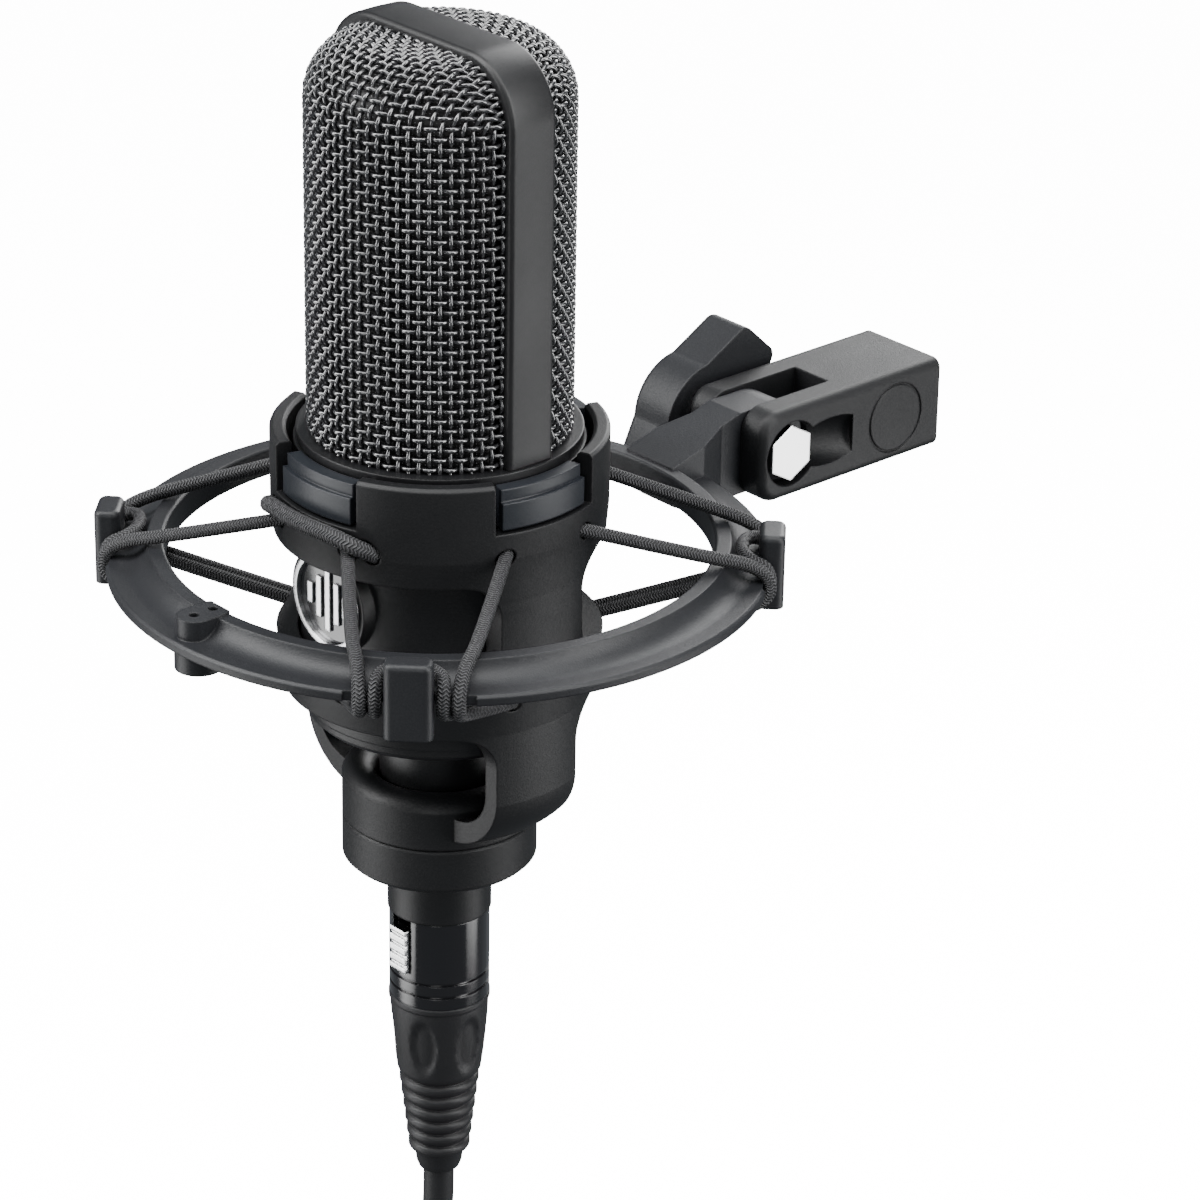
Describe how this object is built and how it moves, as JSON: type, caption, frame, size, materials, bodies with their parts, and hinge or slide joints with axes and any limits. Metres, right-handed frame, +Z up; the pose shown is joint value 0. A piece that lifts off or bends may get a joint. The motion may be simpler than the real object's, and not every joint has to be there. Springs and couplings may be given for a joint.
{
  "type": "condenser microphone",
  "caption": "Side-address condenser microphone with a woven wire head, held by elastics in a ring shock mount with a threaded tilt swivel, and its cable.",
  "frame": {"origin": "centre of the mouth of the swivel's stand thread", "axes": "+Y out of the stand thread, away from the microphone; +Z up along the microphone's axis; the microphone's front faces -Y and the hinge bolt's head is on +X"},
  "size_m": [0.13, 0.1807, 0.4557],
  "materials": {
    "satin_black": "fine satin powder coat",
    "matte_plastic_black": "moulded, lightly textured",
    "ring_plastic": "moulded satin",
    "woven_wire": "glossy black lacquered wire",
    "pad_rubber": "blue-grey satin rubber",
    "elastic_cord": "braided black and grey elastic",
    "bright_steel": "polished steel",
    "silver_trim": "bright satin",
    "badge_black": "gloss black",
    "brass_gold": "turned brass",
    "gold_film": "gold-sputtered film",
    "connector_black": "gloss black chrome",
    "insert_plastic": "moulded",
    "boot_plastic": "moulded, satin",
    "cable_rubber": "matte jacket",
    "tie_fabric": "hook-and-loop tie",
    "board_green": "solder-masked laminate",
    "component_mix": "sleeved parts",
    "grey_zinc": "plain cast"
  },
  "bodies": {
    "swivel_base": {"swivel_fork": "matte_plastic_black", "hinge_bolt": "bright_steel", "hinge_washer": "bright_steel"},
    "knob": {"wing_knob": "ring_plastic", "knob_nut": "brass_gold"},
    "ring": {"outer_ring": "ring_plastic", "ring_pegs": "ring_plastic", "elastic_1": "elastic_cord", "elastic_2": "elastic_cord", "elastic_3": "elastic_cord", "elastic_4": "elastic_cord"},
    "lock": {"lock_ring": "matte_plastic_black"},
    "plug": {"plug_shell": "connector_black", "plug_insert": "insert_plastic", "plug_contacts": "brass_gold", "plug_boot": "boot_plastic", "cable_lead": "cable_rubber", "cable_coil": "cable_rubber", "coil_tie": "tie_fabric", "cable_tail": "cable_rubber", "far_boot": "boot_plastic", "far_shell": "connector_black", "far_insert": "insert_plastic", "far_pins": "bright_steel"},
    "latch": {"plug_latch": "bright_steel"},
    "pad_slider": {"pad_switch": "insert_plastic"},
    "filter_slider": {"filter_switch": "insert_plastic"},
    "cradle": {"badge_bars": "silver_trim", "badge_disc": "badge_black", "badge_rim": "silver_trim", "base_plate": "satin_black", "base_screws": "connector_black", "board_components": "component_mix", "body_tube": "satin_black", "bridge_cord": "elastic_cord", "capsule_backplates": "brass_gold", "capsule_housing": "silver_trim", "capsule_post": "pad_rubber", "chassis_rails": "grey_zinc", "circuit_board": "board_green", "clamp_rings": "brass_gold", "cradle": "matte_plastic_black", "cradle_pad_back": "pad_rubber", "cradle_pad_front": "pad_rubber", "cradle_pad_left": "pad_rubber", "cradle_pad_right": "pad_rubber", "diaphragms": "gold_film", "fine_screen_back": "woven_wire", "fine_screen_front": "woven_wire", "grille_back": "woven_wire", "grille_band": "satin_black", "grille_front": "woven_wire", "head_base": "satin_black", "head_deck": "satin_black", "stem": "satin_black", "switch_bodies": "insert_plastic", "xlr_insert": "insert_plastic", "xlr_pins": "bright_steel", "xlr_shell": "satin_black"}
  },
  "joints": [
    {"name": "swivel_tilt", "type": "hinge", "parent": "swivel_base", "child": "ring", "pos_m": [0, -0.04, 0], "axis": [1, 0, 0], "range_deg": [-90, 90]},
    {"name": "knob_turn", "type": "hinge", "parent": "swivel_base", "child": "knob", "pos_m": [0, -0.04, 0], "axis": [1, 0, 0], "continuous": true},
    {"name": "suspension_bounce", "type": "slide", "parent": "ring", "child": "cradle", "axis": [0, 0, 1], "range_m": [-0.003, 0.003], "stiffness_N_per_m": 6000, "deforming": ["elastic_1", "elastic_2", "elastic_3", "elastic_4"]},
    {"name": "lock_ring_turn", "type": "hinge", "parent": "cradle", "child": "lock", "pos_m": [0, -0.1195, -0.058], "axis": [0, 0, 1], "continuous": true},
    {"name": "plug_pull", "type": "slide", "parent": "cradle", "child": "plug", "axis": [0, 0, -1], "range_m": [0, 0.02]},
    {"name": "latch_press", "type": "slide", "parent": "plug", "child": "latch", "axis": [0, 1, 0], "range_m": [0, 0.0006], "stiffness_N_per_m": 800},
    {"name": "pad_switch_slide", "type": "slide", "parent": "cradle", "child": "pad_slider", "axis": [1, 0, 0], "range_m": [-0.0012, 0.0012]},
    {"name": "filter_switch_slide", "type": "slide", "parent": "cradle", "child": "filter_slider", "axis": [1, 0, 0], "range_m": [-0.0012, 0.0012]}
  ]
}
